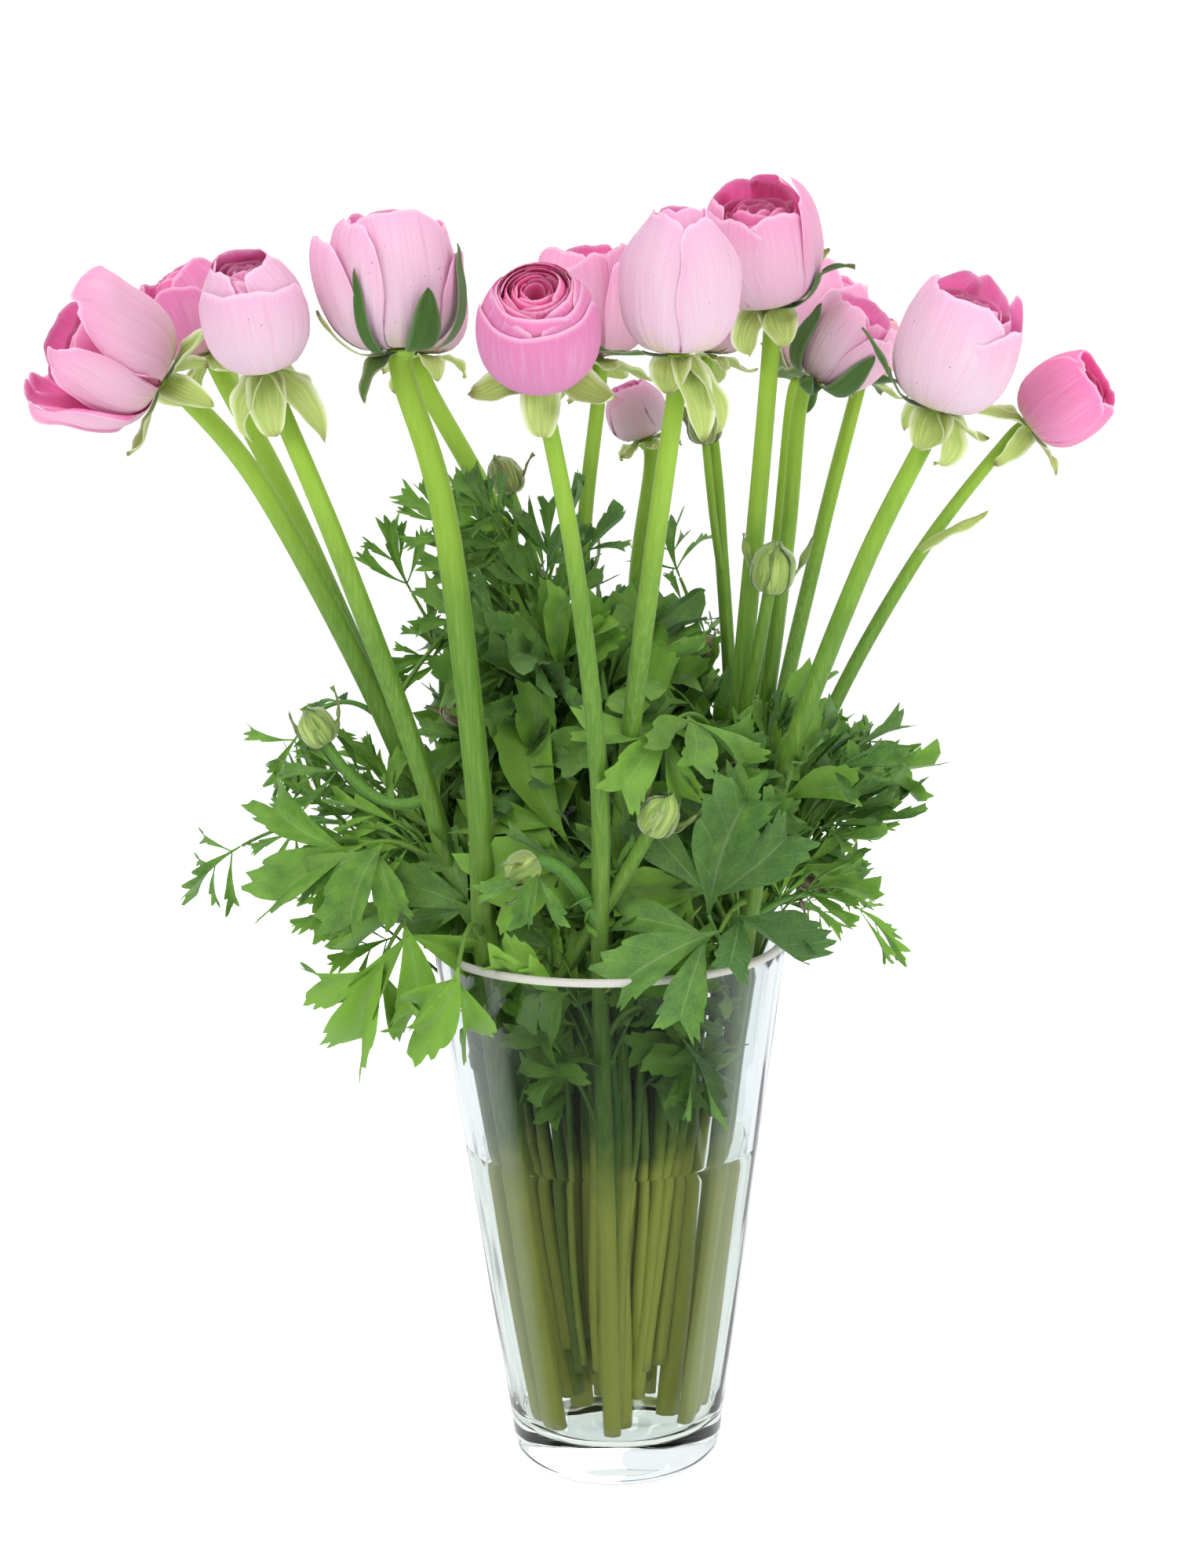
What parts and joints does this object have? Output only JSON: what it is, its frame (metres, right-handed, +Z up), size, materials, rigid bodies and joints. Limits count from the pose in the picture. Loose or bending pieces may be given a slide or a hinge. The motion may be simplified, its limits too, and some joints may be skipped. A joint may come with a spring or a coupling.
{
  "type": "ranunculus bouquet in a glass vase",
  "caption": "Bunch of long-stemmed pink ranunculus flowers with buds and toothed green leaves, standing in water in a tall tapered clear glass vase.",
  "frame": {"origin": "centre of the vase's flat foot, on the surface it stands on", "axes": "+Z up along the vase's axis, -Y towards the front of the bunch, +X to the right as seen from the front"},
  "size_m": [0.4359, 0.2376, 0.54],
  "materials": {
    "glass": "polished",
    "water": "polished",
    "petals": "matte",
    "stem": "satin",
    "foliage": "satin"
  },
  "bodies": {
    "root": {"vase": "glass", "water": "water", "stem_01": "stem", "stem_02": "stem", "stem_03": "stem", "stem_04": "stem", "stem_05": "stem", "stem_06": "stem", "stem_07": "stem", "stem_08": "stem", "stem_09": "stem", "stem_10": "stem", "stem_11": "stem", "stem_12": "stem", "stem_13": "stem", "stem_14": "stem", "stem_15": "stem", "stem_16": "stem", "petals_01": "petals", "petals_02": "petals", "petals_03": "petals", "petals_04": "petals", "petals_05": "petals", "petals_06": "petals", "petals_07": "petals", "petals_08": "petals", "petals_09": "petals", "petals_10": "petals", "petals_11": "petals", "petals_12": "petals", "petals_13": "petals", "petals_14": "petals", "petals_15": "petals", "petals_16": "petals", "shoot_01": "foliage", "shoot_02": "foliage", "shoot_03": "foliage", "shoot_04": "foliage", "shoot_05": "foliage", "shoot_06": "foliage", "shoot_07": "foliage", "shoot_08": "foliage", "shoot_09": "foliage", "shoot_10": "foliage", "shoot_11": "foliage", "shoot_12": "foliage", "shoot_13": "foliage", "shoot_14": "foliage", "shoot_15": "foliage", "shoot_16": "foliage", "shoot_17": "foliage", "shoot_18": "foliage", "shoot_19": "foliage", "shoot_20": "foliage", "shoot_21": "foliage", "shoot_22": "foliage", "shoot_23": "foliage", "shoot_24": "foliage", "shoot_25": "foliage", "shoot_26": "foliage"}
  },
  "joints": []
}
